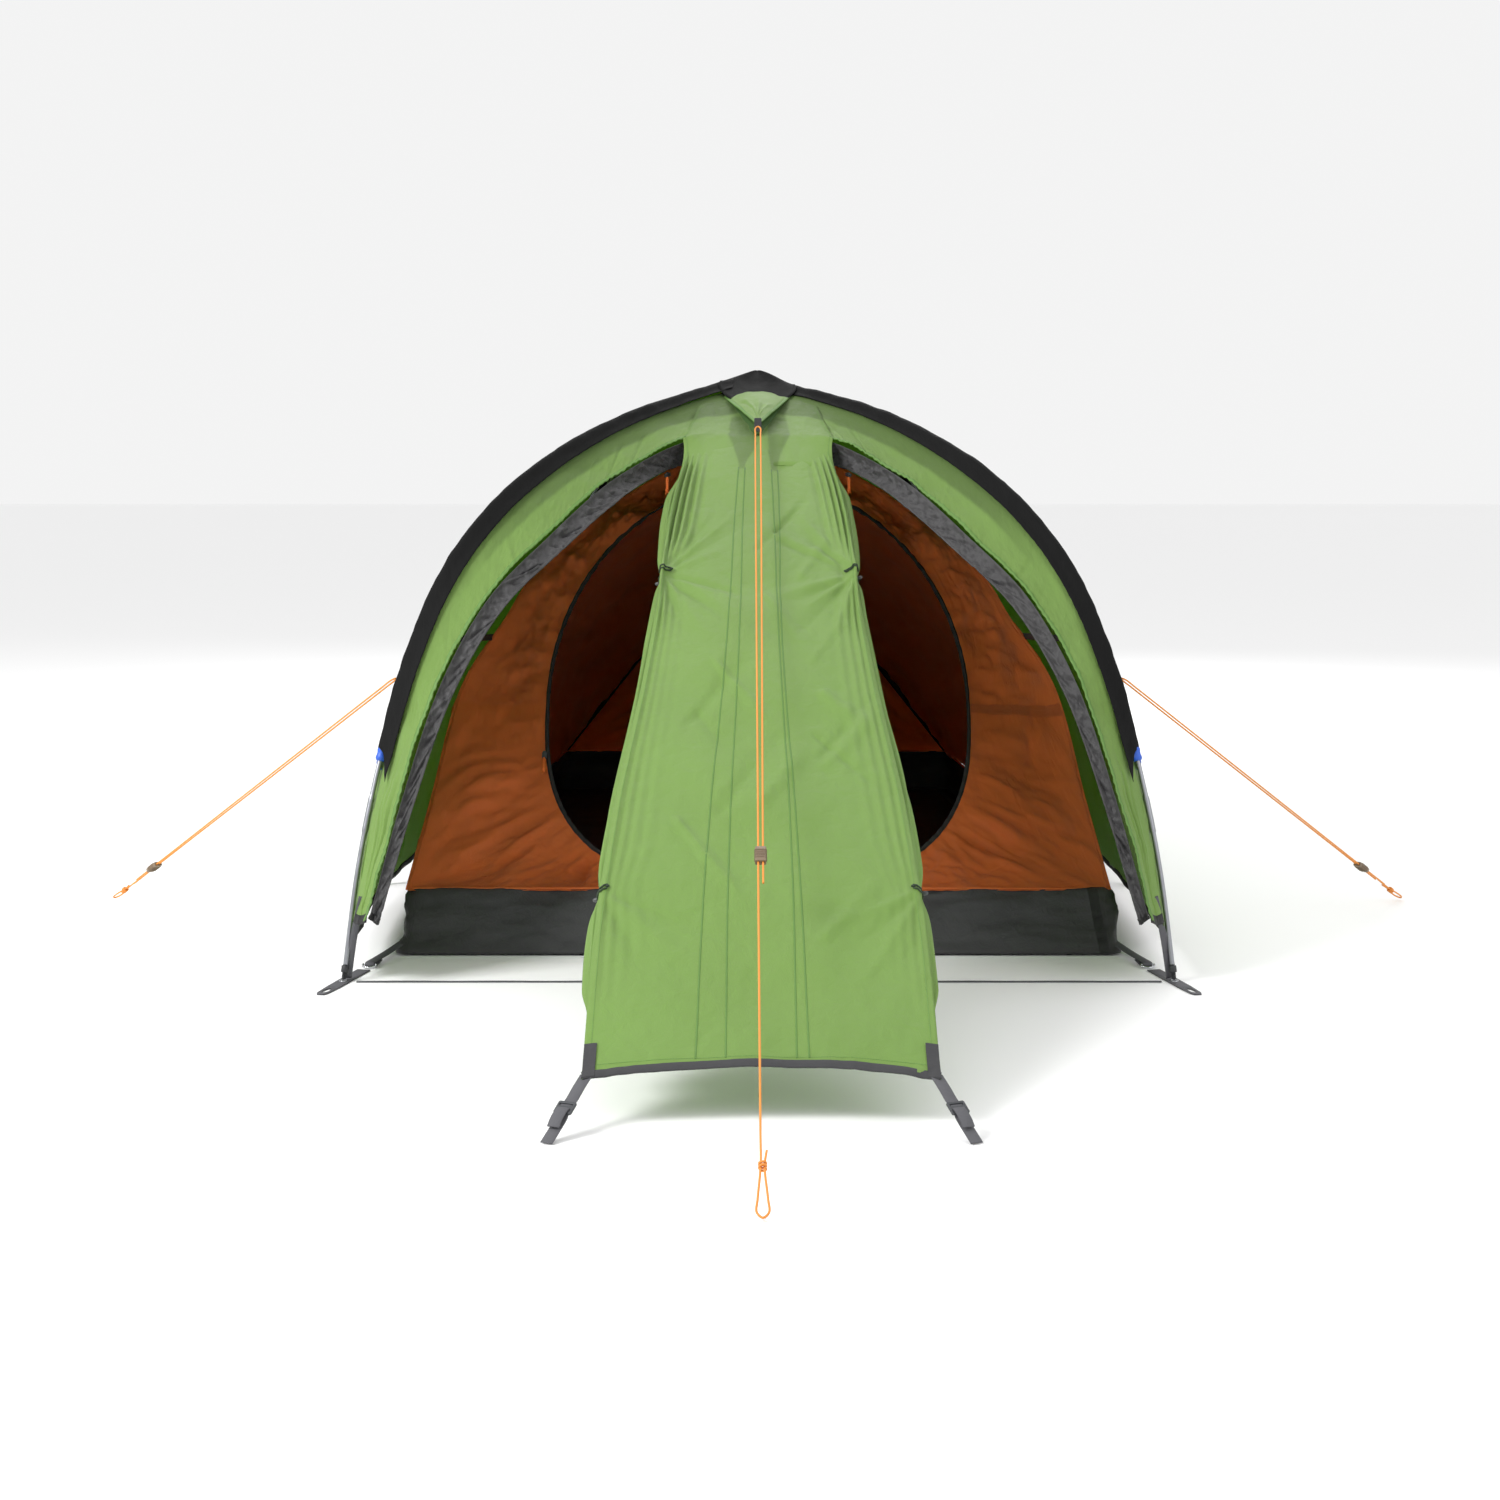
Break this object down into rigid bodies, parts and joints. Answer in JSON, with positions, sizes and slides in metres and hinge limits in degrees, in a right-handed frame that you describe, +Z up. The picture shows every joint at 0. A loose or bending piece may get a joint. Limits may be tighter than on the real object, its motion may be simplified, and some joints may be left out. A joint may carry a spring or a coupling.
{
  "type": "dome tent",
  "caption": "Two-pole dome tent with a flysheet, a hung inner tent with a bucket floor, and a front porch held out by a guy line.",
  "frame": {"origin": "centre of the groundsheet's underside, on the ground", "axes": "+X to the right as seen from the front, +Y from the porch to the rear, +Z up"},
  "size_m": [2.5707, 3.9096, 1.0479],
  "materials": {
    "flysheet": "coated ripstop weave, soft sheen",
    "sleeve": "matt black woven sleeve",
    "storm_flap": "grey coated weave, creased",
    "inner_fabric": "breathable burnt orange weave",
    "groundsheet": "dark grey laminate",
    "webbing": "ribbed webbing",
    "guy_cord": "braided cord",
    "alloy": "satin anodised tube",
    "tip": "moulded",
    "lock": "moulded, blue",
    "buckle": "moulded",
    "runner": "moulded",
    "tab": "webbing tab"
  },
  "bodies": {
    "tent": {"pole_a_front": "alloy", "pole_a_rear": "alloy", "pole_b_front": "alloy", "pole_b_rear": "alloy", "pole_tip_front_left": "tip", "pole_tip_front_right": "tip", "pole_tip_rear_left": "tip", "pole_tip_rear_right": "tip", "sleeve_front_left": "sleeve", "sleeve_front_right": "sleeve", "sleeve_rear_left": "sleeve", "sleeve_rear_right": "sleeve", "sleeve_lock_left": "lock", "sleeve_lock_right": "lock", "fly_side_left": "flysheet", "fly_side_right": "flysheet", "fly_rear": "flysheet", "fly_band_left": "flysheet", "fly_band_right": "flysheet", "porch_panel": "flysheet", "door_roll_left": "flysheet", "door_roll_right": "flysheet", "vent_hood": "flysheet", "storm_flap_left": "storm_flap", "storm_flap_right": "storm_flap", "vent_tab": "tab", "inner_front": "inner_fabric", "inner_left": "inner_fabric", "inner_right": "inner_fabric", "inner_rear": "inner_fabric", "inner_door_roll": "inner_fabric", "groundsheet": "groundsheet", "porch_buckle_left": "buckle", "porch_buckle_right": "buckle", "guy_line_front": "guy_cord", "guy_line_left": "guy_cord", "guy_line_right": "guy_cord", "corner_strap_left": "webbing", "corner_strap_right": "webbing", "foot_strap_left": "webbing", "foot_strap_right": "webbing", "rear_foot_strap_left": "webbing", "rear_foot_strap_right": "webbing", "ground_strap": "webbing", "side_peg_strap_left": "webbing", "side_peg_strap_right": "webbing", "porch_strap_left": "webbing", "porch_strap_right": "webbing"},
    "d_ring_left": {"d_ring_left": "alloy"},
    "d_ring_right": {"d_ring_right": "alloy"},
    "door_slider_left": {"door_slider_left": "buckle"},
    "door_slider_right": {"door_slider_right": "buckle"},
    "door_pull_left": {"door_pull_left": "guy_cord"},
    "door_pull_right": {"door_pull_right": "guy_cord"},
    "inner_slider": {"inner_slider": "buckle"},
    "inner_pull": {"inner_pull": "guy_cord"},
    "runner_front": {"runner_front": "runner"},
    "runner_left": {"runner_left": "runner"},
    "runner_right": {"runner_right": "runner"}
  },
  "joints": [
    {"name": "d_ring_left_swing", "type": "hinge", "parent": "tent", "child": "d_ring_left", "pos_m": [-0.673, -1.18, 0.0052], "axis": [-0.9726, 0.2327, 0], "range_deg": [0, 110]},
    {"name": "d_ring_right_swing", "type": "hinge", "parent": "tent", "child": "d_ring_right", "pos_m": [0.673, -1.18, 0.0052], "axis": [-0.9726, -0.2327, 0], "range_deg": [0, 110]},
    {"name": "door_zip_left", "type": "slide", "parent": "tent", "child": "door_slider_left", "axis": [-0.4996, -0.8243, -0.2662], "range_m": [0, 0.06]},
    {"name": "door_pull_left_swing", "type": "hinge", "parent": "door_slider_left", "child": "door_pull_left", "pos_m": [-0.1708, -0.7133, 0.8395], "axis": [-1, 0, 0], "range_deg": [0, 70]},
    {"name": "door_zip_right", "type": "slide", "parent": "tent", "child": "door_slider_right", "axis": [0.4996, -0.8243, -0.2662], "range_m": [0, 0.06]},
    {"name": "door_pull_right_swing", "type": "hinge", "parent": "door_slider_right", "child": "door_pull_right", "pos_m": [0.1708, -0.7133, 0.8395], "axis": [-1, 0, 0], "range_deg": [0, 70]},
    {"name": "inner_zip", "type": "slide", "parent": "tent", "child": "inner_slider", "axis": [0, 0.602, 0.7985], "range_m": [-0.05, 0.05]},
    {"name": "inner_pull_swing", "type": "hinge", "parent": "inner_slider", "child": "inner_pull", "pos_m": [-0.396, -0.8562, 0.326], "axis": [-1, 0, 0], "range_deg": [0, 70]},
    {"name": "runner_front_slide", "type": "slide", "parent": "tent", "child": "runner_front", "axis": [0, -0.8996, -0.4367], "range_m": [-0.03, 0.03]},
    {"name": "runner_left_slide", "type": "slide", "parent": "tent", "child": "runner_left", "axis": [-0.6376, 0.6029, -0.4796], "range_m": [-0.03, 0.03]},
    {"name": "runner_right_slide", "type": "slide", "parent": "tent", "child": "runner_right", "axis": [0.6376, 0.6029, -0.4796], "range_m": [-0.03, 0.03]}
  ]
}
